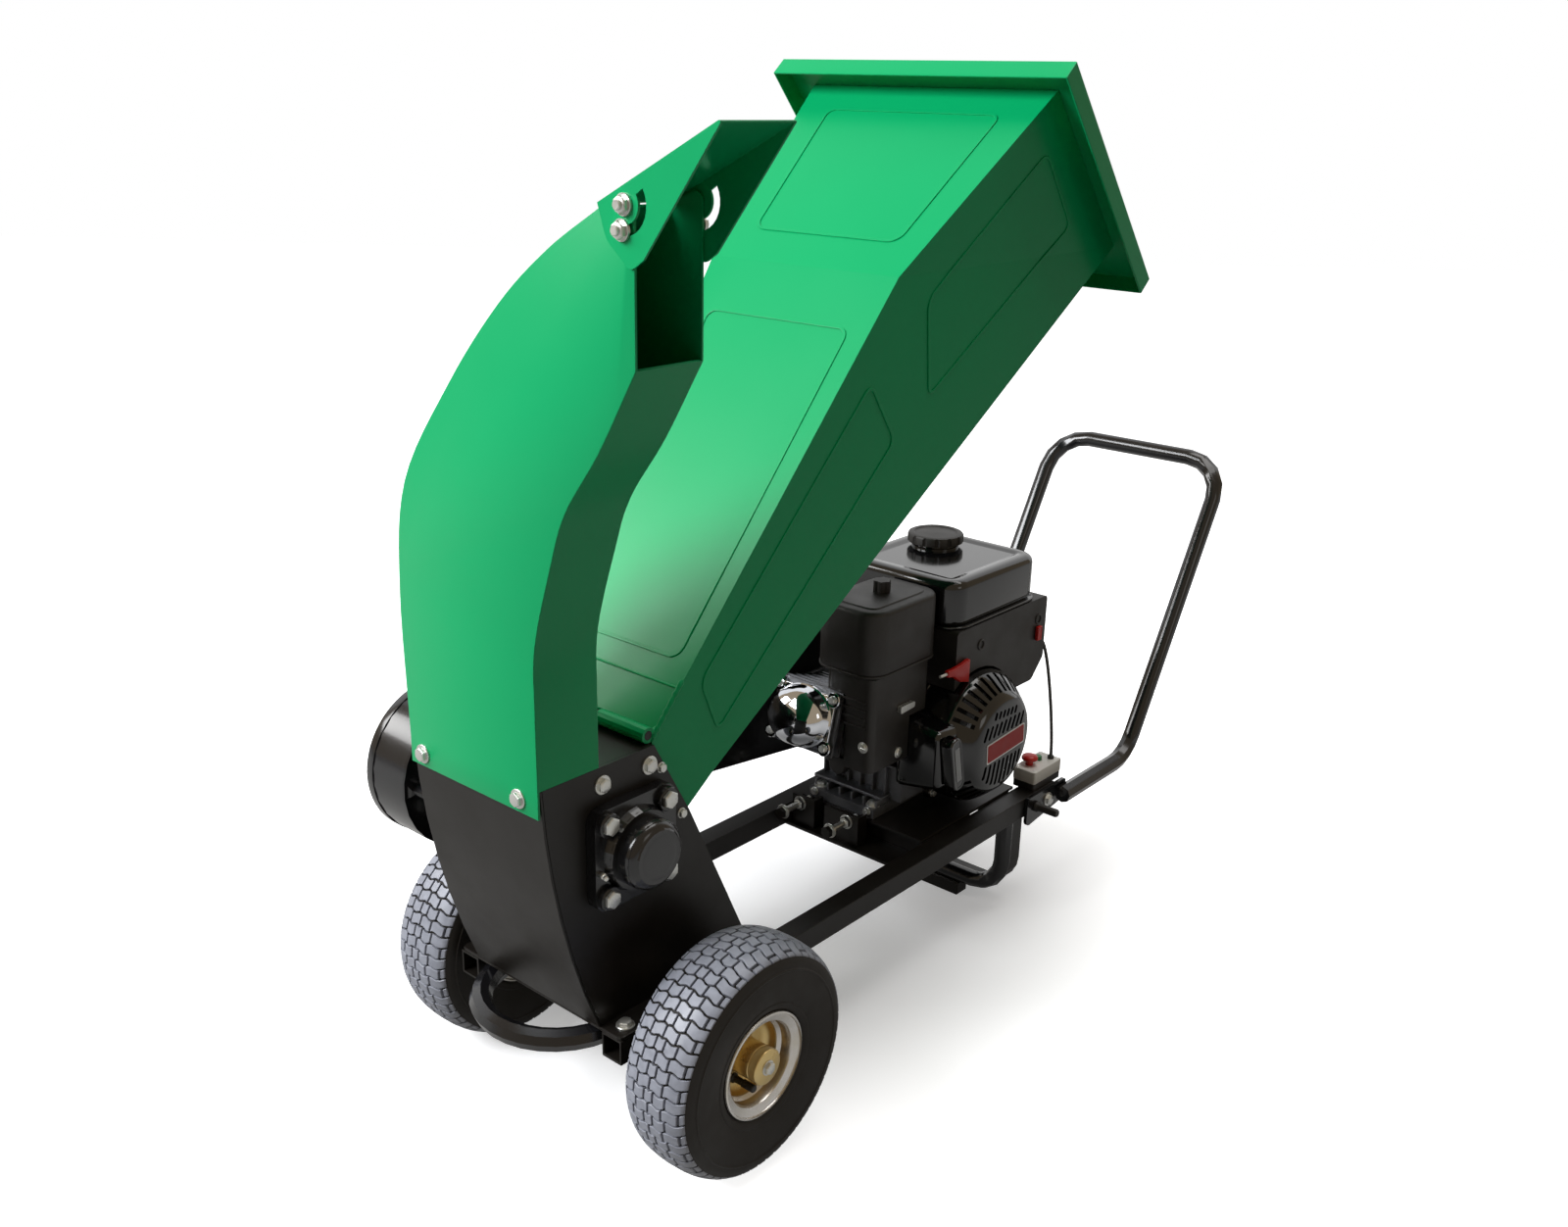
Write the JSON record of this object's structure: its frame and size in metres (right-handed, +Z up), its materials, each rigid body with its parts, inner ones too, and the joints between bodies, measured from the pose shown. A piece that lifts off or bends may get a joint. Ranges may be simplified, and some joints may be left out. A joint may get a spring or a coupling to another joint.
{
  "type": "chipper shredder",
  "caption": "Petrol wood chipper on wheels with a tilting feed hopper, side belt drive, curved discharge chute with flap, and a folding push handle.",
  "frame": {"origin": "on the ground, on the centre plane, at the middle of the flat rear foot's underside", "axes": "+Y runs to the rear, where the push handle is, +Z is up, and +X is the machine's left-hand side when standing at the handle and looking forward, which is the side with the starter and the control box"},
  "size_m": [0.5876, 1.3994, 1.1726],
  "materials": {
    "green_enamel": "gloss enamel",
    "black_powder_coat": "satin powder coat",
    "black_plastic": "fine moulded texture",
    "tyre_rubber": "turf tread",
    "belt_rubber": "fabric wrapped",
    "rim_steel": "silver lacquer",
    "zinc": "zinc plated",
    "knife_steel": "ground",
    "cast_aluminium": "as cast",
    "chrome": "polished",
    "white_plastic": "smooth",
    "red_plastic": "smooth",
    "green_plastic": "smooth"
  },
  "bodies": {
    "chassis": {"anvil_knife": "knife_steel", "axle": "black_powder_coat", "base_plate": "black_powder_coat", "bearing_left": "black_powder_coat", "bearing_right": "black_powder_coat", "chute": "green_enamel", "control_box": "white_plastic", "control_panel": "black_plastic", "crankcase": "cast_aluminium", "cylinder": "cast_aluminium", "engine_cradle": "black_powder_coat", "engine_lead": "black_plastic", "engine_plate": "black_powder_coat", "filter_body": "black_plastic", "filter_cover": "black_plastic", "foot_bar": "black_powder_coat", "front_loop": "black_powder_coat", "fuel_tank": "black_plastic", "guard_back": "black_powder_coat", "guard_cover": "black_powder_coat", "housing_front": "black_powder_coat", "housing_rear": "black_powder_coat", "housing_side_left": "black_powder_coat", "housing_side_right": "black_powder_coat", "housing_top": "black_powder_coat", "leg_strap": "black_powder_coat", "muffler": "black_powder_coat", "rail_left": "black_powder_coat", "rail_right": "black_powder_coat", "rear_leg": "black_powder_coat", "recoil_cover": "black_plastic", "rocker_cover": "chrome", "v_belt": "belt_rubber"},
    "wheel_right": {"tyre_right": "tyre_rubber", "rim_right": "rim_steel"},
    "wheel_left": {"tyre_left": "tyre_rubber", "rim_left": "rim_steel"},
    "rotor": {"rotor_shaft": "knife_steel", "rotor_drum": "cast_aluminium", "rotor_knife_1": "knife_steel", "rotor_knife_2": "knife_steel", "driven_pulley": "cast_aluminium"},
    "engine_shaft": {"crankshaft": "knife_steel", "flywheel": "cast_aluminium", "drive_pulley": "cast_aluminium"},
    "push_handle": {"handle": "black_powder_coat"},
    "pin_right": {"lock_pin_right": "black_plastic"},
    "pin_left": {"lock_pin_left": "black_plastic"},
    "chute_flap": {"deflector": "green_enamel"},
    "feed_hopper": {"hopper": "green_enamel", "hopper_rim": "green_enamel"},
    "throttle": {"throttle_lever": "red_plastic"},
    "choke": {"choke_lever": "zinc"},
    "tank_cap": {"fuel_cap": "black_plastic"},
    "cover_knob": {"filter_knob": "black_plastic"},
    "oil_cap": {"dipstick": "black_plastic"},
    "pull_grip": {"starter_grip": "black_plastic"},
    "on_off_switch": {"engine_switch": "red_plastic"},
    "stop_key": {"stop_button": "red_plastic"},
    "start_key": {"start_button": "green_plastic"}
  },
  "joints": [
    {"name": "wheel_right_spin", "type": "hinge", "parent": "chassis", "child": "wheel_right", "pos_m": [0.198, -0.661, 0.137], "axis": [1, 0, 0], "continuous": true},
    {"name": "wheel_left_spin", "type": "hinge", "parent": "chassis", "child": "wheel_left", "pos_m": [-0.198, -0.661, 0.137], "axis": [1, 0, 0], "continuous": true},
    {"name": "rotor_spin", "type": "hinge", "parent": "chassis", "child": "rotor", "pos_m": [0, -0.73, 0.3846], "axis": [1, 0, 0], "continuous": true},
    {"name": "crank_spin", "type": "hinge", "parent": "chassis", "child": "engine_shaft", "pos_m": [0, -0.047, 0.2859], "axis": [1, 0, 0], "continuous": true},
    {"name": "handle_fold", "type": "hinge", "parent": "chassis", "child": "push_handle", "pos_m": [0, 0.079, 0.1573], "axis": [1, 0, 0], "range_deg": [0, 70]},
    {"name": "lock_pin_right_pull", "type": "slide", "parent": "push_handle", "child": "pin_right", "axis": [1, 0, 0], "range_m": [0, 0.01], "stiffness_N_per_m": 300},
    {"name": "lock_pin_left_pull", "type": "slide", "parent": "push_handle", "child": "pin_left", "axis": [-1, 0, 0], "range_m": [0, 0.01], "stiffness_N_per_m": 300},
    {"name": "deflector_tilt", "type": "hinge", "parent": "chassis", "child": "chute_flap", "pos_m": [0.238, -0.8083, 1.0476], "axis": [0, 1, 0], "range_deg": [0, 100]},
    {"name": "hopper_tilt", "type": "hinge", "parent": "chassis", "child": "feed_hopper", "pos_m": [0, -0.69258, 0.49325], "axis": [1, 0, 0], "range_deg": [0, 35]},
    {"name": "throttle_swing", "type": "hinge", "parent": "chassis", "child": "throttle", "pos_m": [0.09, -0.083, 0.3989], "axis": [1, 0, 0], "range_deg": [0, 35]},
    {"name": "choke_swing", "type": "hinge", "parent": "chassis", "child": "choke", "pos_m": [0.0663, -0.197, 0.3629], "axis": [1, 0, 0], "range_deg": [0, 45]},
    {"name": "fuel_cap_turn", "type": "hinge", "parent": "chassis", "child": "tank_cap", "pos_m": [-0.056, 0.037, 0.5172], "axis": [0, 0, 1], "range_deg": [0, 90]},
    {"name": "filter_knob_turn", "type": "hinge", "parent": "chassis", "child": "cover_knob", "pos_m": [0.01, -0.177, 0.51], "axis": [0, 0, 1], "continuous": true},
    {"name": "dipstick_turn", "type": "hinge", "parent": "chassis", "child": "oil_cap", "pos_m": [-0.06, -0.152, 0.2319], "axis": [0, 1, 0], "continuous": true},
    {"name": "starter_pull", "type": "slide", "parent": "chassis", "child": "pull_grip", "axis": [1, 0, 0], "range_m": [0, 0.045], "stiffness_N_per_m": 40},
    {"name": "engine_switch_turn", "type": "hinge", "parent": "chassis", "child": "on_off_switch", "pos_m": [0.0893, 0.103, 0.3979], "axis": [1, 0, 0], "range_deg": [0, 60]},
    {"name": "stop_press", "type": "slide", "parent": "chassis", "child": "stop_key", "axis": [0, 0, -1], "range_m": [0, 0.004], "stiffness_N_per_m": 400},
    {"name": "start_press", "type": "slide", "parent": "chassis", "child": "start_key", "axis": [0, 0, -1], "range_m": [0, 0.0025], "stiffness_N_per_m": 400}
  ],
  "couplings": [
    {"joint": "crank_spin", "follows": "rotor_spin", "ratio": 1.6923}
  ]
}
